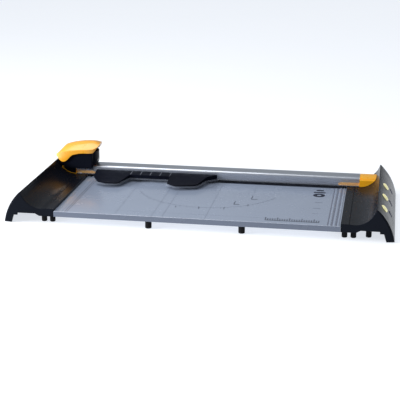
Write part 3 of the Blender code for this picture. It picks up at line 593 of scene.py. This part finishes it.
def springs():
    """Two springs under the press head and two under the clamp."""
    for number, x in enumerate((-282.0, -237.0), 1):
        coil(f"press_spring_{number}", "carriage", (x, 99.0), (47.0, 56.2),
             radius=3.6, wire=0.4, turns=5)
    for word, x in (("left", -233.0), ("right", 233.0)):
        coil(f"clamp_spring_{word}", "base", (x, 80.6), (4.9, 16.9),
             radius=3.0, wire=0.45, turns=6)


# ---------------------------------------------------------------- left block

BOWL_MIDDLE = (-262.0, 62.0)      # X and Z of the centre of the left cap's concave side
RIM_RADIUS = 34.2                 # of the painted shade's round edge, inside the block's own
SHADE_FRONT, SHADE_BACK = 80.3, 80.6


def left_block_shade():
    """Dark sheet on the left block's front, painted shade that leaves only a thin rim of the block in
    view.
    """
    outline = arc_points(*BOWL_MIDDLE, RIM_RADIUS, 221.6, 269.0, 16) + [(-262.6, 39.2)]
    bm = bmesh.new()
    solid(bm, [[(x, y, z) for x, z in outline] for y in (SHADE_FRONT, SHADE_BACK)])
    add("left_block_painted_shade", bm, HOUSING_AND_SHADE, "base", 0)


# ---------------------------------------------------------------- spare heads

WINDOW_YS = (-93.0, -28.0, 37.0)
WINDOW_SLOPE = 51.6          # degrees down from the top of the curve
MARK_SLOPE = 63.1
CURVE_RADIUS = 89.7
CURVE_MIDDLE = (238.8, -13.6)     # X and Z
WELL_DEPTH = 3.0
WELL_FRONT, WELL_BACK = -128.0, 70.5
TRAY_FRONT, TRAY_BACK = -121.3, 65.3     # just past the tray's two ends


def on_curve(slope, y, tall=0.0):
    """A point on the right cap's convex side, slope degrees down from the top."""
    reach = CURVE_RADIUS + tall
    x = CURVE_MIDDLE[0] + reach * sin(radians(slope))
    z = CURVE_MIDDLE[1] + reach * cos(radians(slope))
    return Vector((x, y, z))


def spare_knobs():
    """Domed knobs of the spare heads, showing through the door's windows."""
    out = Vector((sin(radians(WINDOW_SLOPE)), 0.0, cos(radians(WINDOW_SLOPE))))
    down = Vector((cos(radians(WINDOW_SLOPE)), 0.0, -sin(radians(WINDOW_SLOPE))))
    along = Vector((0.0, 1.0, 0.0))
    steps = 48
    profile = [(6.8, -4.6), (7.2, -4.2), (7.2, -0.6), (7.0, 0.3),
               (6.4, 1.1), (5.4, 1.7), (4.1, 2.1), (2.5, 2.35)]
    for number, y in enumerate(WINDOW_YS, 1):
        middle = on_curve(WINDOW_SLOPE, y)
        bm = bmesh.new()
        rings = []
        for radius, tall in profile:
            ring = []
            for i in range(steps):
                a = 2 * pi * i / steps
                ring.append(bm.verts.new(middle + out * tall + (down * cos(a) + along * sin(a)) * radius))
            rings.append(ring)
        tube(bm, rings)
        shell = add(f"spare_knob_dome_{number}", bm, KNOB_GLOW_YELLOW, "base", 40.0)
        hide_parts(f"spare_knob_{number}")


def storage_well():
    """Shelf and end walls that close the space round the storage tray, seen with the door up."""
    def across(turn):
        point = on_curve(turn, 0.0, -WELL_DEPTH)
        return (point.x, point.z)

    heel = (310.0, 12.4)
    shelf = [across(72.6), across(71.7), (310.0, 13.8), heel]
    end = [across(48.0 + 3.4 * i) for i in range(8)] + [heel, (296.6, 41.0)]
    bm = bmesh.new()
    for outline, low, high in ((end, WELL_FRONT, TRAY_FRONT), (shelf, TRAY_FRONT, TRAY_BACK),
                               (end, TRAY_BACK, WELL_BACK)):
        solid(bm, [[(x, y, z) for x, z in outline] for y in (low, high)])
    add("storage_well", bm, BLACK, "base", 0)


def door_marks():
    """Plain marks beside the windows: one, three and two bars, for the kinds of cut."""
    bm = bmesh.new()
    half = 4.2
    for y, bars in ((60.0, ((-4.8, 4.8),)), (-12.0, ((-5.2, -1.9), (-0.8, 2.1), (3.2, 5.2))),
                    (-73.0, ((-5.2, 0.8), (2.4, 5.2)))):
        for low, high in bars:
            slopes = [MARK_SLOPE + reach * 180 / pi / CURVE_RADIUS for reach in (low, high)]
            six_sides(bm, [on_curve(slope, y + side, tall)
                           for tall in (-0.2, 0.16) for side in (-half, half) for slope in slopes])
    add("door_marks", bm, MARK_INK, "door", 0)


# ---------------------------------------------------------------- grip

GRIP_LEFT, GRIP_RIGHT = -302.0, -218.0
GRIP_MID, GRIP_HALF = 99.0, 26.0  # along Y
GRIP_WALL = 2.2
NOSE_REACH = 18.0            # length of the nose at the right end
NOSE_LIFT = 9.6              # how far its crease climbs
NOSE_DROOP = 8.0             # length over which its top falls
DROOP_BEND = 0.015
SPINE_LEFT, SPINE_RIGHT = GRIP_LEFT + 20.0, GRIP_RIGHT - 14.0
SPINE_LOW, SPINE_HIGH = 61.0, 87.09
CREASE_LOW, CREASE_HIGH = 59.8, 74.8
GRIP_STEPS = 144


def grip_plan():
    """The grip's rounded outline seen from above."""
    points = []
    middle, reach = (GRIP_LEFT + GRIP_RIGHT) / 2, (GRIP_RIGHT - GRIP_LEFT) / 2
    for i in range(GRIP_STEPS):
        a = 2 * pi * (i + 0.5) / GRIP_STEPS
        c, s = cos(a), sin(a)
        power = 0.55 if c > 0 else 0.5
        x = middle + reach * (abs(c) ** power) * (1 if c > 0 else -1)
        y = GRIP_MID + GRIP_HALF * (abs(s) ** 0.5) * (1 if s > 0 else -1)
        points.append((x, y))
    return points


def rise(x, low, high, share):
    """A height that climbs in a quarter round over a share of the grip's length, then stays level."""
    u = (x - GRIP_LEFT) / (GRIP_RIGHT - GRIP_LEFT)
    t = min(max(u / share, 0.0), 1.0)
    return low + (high - low) * sqrt(1 - (1 - t) ** 2)


def grip_spine(x):
    """Height of the top along the middle."""
    droop = max(0.0, x - (GRIP_RIGHT - NOSE_DROOP))
    return rise(x, SPINE_LOW, SPINE_HIGH, 0.82) - DROOP_BEND * droop * droop


def grip_crease(x, y):
    """Height of the crease round the top, which climbs towards the nose."""
    nose = max(0.0, 1 - abs(y - GRIP_MID) / GRIP_HALF)
    along = min(max((x - (GRIP_RIGHT - NOSE_REACH)) / NOSE_REACH, 0.0), 1.0)
    lift = NOSE_LIFT * along * (1 - (1 - nose) ** 2)
    return rise(x, CREASE_LOW, CREASE_HIGH, 0.86) + lift


HEM = [(-302.0, 59.0), (-297.5, 58.3), (-295.8, 56.4), (-293.0, 53.0), (-289.5, 50.6), (-285.5, 49.8),
       (-281.0, 51.0), (-276.5, 54.4), (-272.0, 59.6), (-267.0, 63.8), (-258.0, 66.6), (-248.0, 67.6),
       (-235.0, 67.6), (-228.0, 68.2), (-218.0, 80.5)]


def grip_hem(x):
    """Height of the skirt's lower edge."""
    for (x0, z0), (x1, z1) in zip(HEM, HEM[1:]):
        if x <= x1:
            t = min(max((x - x0) / (x1 - x0), 0.0), 1.0)
            return z0 + (z1 - z0) * t
    return HEM[-1][1]


def grip():
    """The palm grip, with a crisp crease between its domed top and its skirt."""
    plan = grip_plan()
    bm = bmesh.new()

    def ring(inset, height):
        verts = []
        for x, y in plan:
            spine_x = min(max(x, SPINE_LEFT), SPINE_RIGHT)
            px, py = x + (spine_x - x) * inset, y + (GRIP_MID - y) * inset
            verts.append(bm.verts.new((px, py, height(x, y, px))))
        return verts

    def dome(fraction, wall):
        def height(x, y, px):
            base = grip_crease(x, y)
            return base + (grip_spine(px) - base) * sin(fraction * pi / 2) - wall
        return height

    wall = GRIP_WALL / GRIP_HALF
    shares = (0.008, 0.06, 0.12, 0.19, 0.26, 0.34, 0.42, 0.51, 0.6, 0.69, 0.78, 0.86, 0.94)
    outer = [ring(0.012, lambda x, y, px: grip_hem(x)),
             ring(0.0, lambda x, y, px: grip_hem(x) + 0.5),
             ring(0.0, lambda x, y, px: grip_crease(x, y) - 0.25)]
    outer += [ring(share, dome(share, 0.0)) for share in shares]
    inner = [ring(wall, lambda x, y, px: grip_hem(x)),
             ring(wall, lambda x, y, px: grip_crease(x, y) - 1.6)]
    inner += [ring(share, dome(share, GRIP_WALL)) for share in shares[4:]]

    def close(last):
        for i in range(GRIP_STEPS // 2 - 1):
            bm.faces.new((last[i], last[i + 1], last[-2 - i], last[-1 - i]))

    for rings in (outer, inner):
        for first, second in zip(rings, rings[1:]):
            bridge(bm, first, second)
        close(rings[-1])
    bridge(bm, outer[0], inner[0])
    shell = add("grip_shell", bm, GRIP_YELLOW, "press_head", 20.0)
    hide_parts("grip_cap")


format_lines()
margin_lines()
corner_marks()
side_dashes()
blade_symbol()
scale_bar()
edge_groove_shade()
shade_under_rail()
edge_ribs()
lip_bead()
rail()
rib_edges()
springs()
left_block_shade()
spare_knobs()
storage_well()
door_marks()
grip()


# ---------------------------------------------------------------- floor, light and camera

FLOOR_HALF = 30.0            # metres, as all of this section
FLOOR_Z = -0.0005
CAMERA_PLACE = (0.30909, -1.87358, 0.59292)
CAMERA_TURN, CAMERA_TILT = 9.78, 16.99    # degrees round from the front, and down
CAMERA_LENS = 101.10         # millimetres


def floor():
    """Pale floor that glows a little, so that it shows white round the object."""
    mesh = bpy.data.meshes.new("floor")
    corners = [(-FLOOR_HALF, -FLOOR_HALF), (FLOOR_HALF, -FLOOR_HALF),
               (FLOOR_HALF, FLOOR_HALF), (-FLOOR_HALF, FLOOR_HALF)]
    mesh.from_pydata([(x, y, FLOOR_Z) for x, y in corners], [], [(0, 1, 2, 3)])
    look = Look("pale_floor", (0.42, 0.42, 0.42), 0.8)
    look.set("Emission Color", (0.93, 0.97, 1.04, 1.0))
    look.set("Emission Strength", 0.72)
    look.tint(look.noise(3.0, 2.0), 0.01)
    mesh.materials.append(look.mat)
    obj = bpy.data.objects.new("floor", mesh)
    scene.collection.objects.link(obj)


def area_light(name, place, size, power):
    """A soft light that faces the middle of the bed."""
    light = bpy.data.lights.new(name, "AREA")
    light.shape = "RECTANGLE"
    light.size, light.size_y = size
    light.energy = power
    obj = bpy.data.objects.new(name, light)
    scene.collection.objects.link(obj)
    obj.location = place
    obj.rotation_mode = "QUATERNION"
    obj.rotation_quaternion = (-Vector(place)).to_track_quat("-Z", "Y")


def studio():
    """A cool white surround, a key light low at the left and a large light above."""
    world = bpy.data.worlds.new("studio")
    scene.world = world
    world.use_nodes = True
    tree = world.node_tree
    back = tree.nodes["Background"]
    back.inputs["Color"].default_value = (0.90, 0.95, 1.0, 1.0)
    back.inputs["Strength"].default_value = 0.38
    area_light("key", (-1.45, -0.60, 0.50), size=(0.6, 0.4), power=33.0)
    area_light("top", (-0.65, -0.1, 1.7), size=(1.6, 1.1), power=17.0)


def camera():
    """A long lens from the front right, looking down."""
    az, el = radians(CAMERA_TURN), radians(CAMERA_TILT)
    right = Vector((cos(az), sin(az), 0.0))
    ahead = Vector((-sin(az) * cos(el), cos(az) * cos(el), -sin(el)))
    up = right.cross(ahead)
    lens = bpy.data.cameras.new("camera")
    lens.sensor_width = 36.0
    lens.lens = CAMERA_LENS
    lens.clip_start = 0.01
    obj = bpy.data.objects.new("camera", lens)
    scene.collection.objects.link(obj)
    turn = Matrix((right, up, -ahead)).transposed().to_4x4()
    turn.translation = Vector(CAMERA_PLACE)
    obj.matrix_world = turn
    scene.camera = obj


floor()
studio()
camera()
scene.view_settings.view_transform = "Standard"
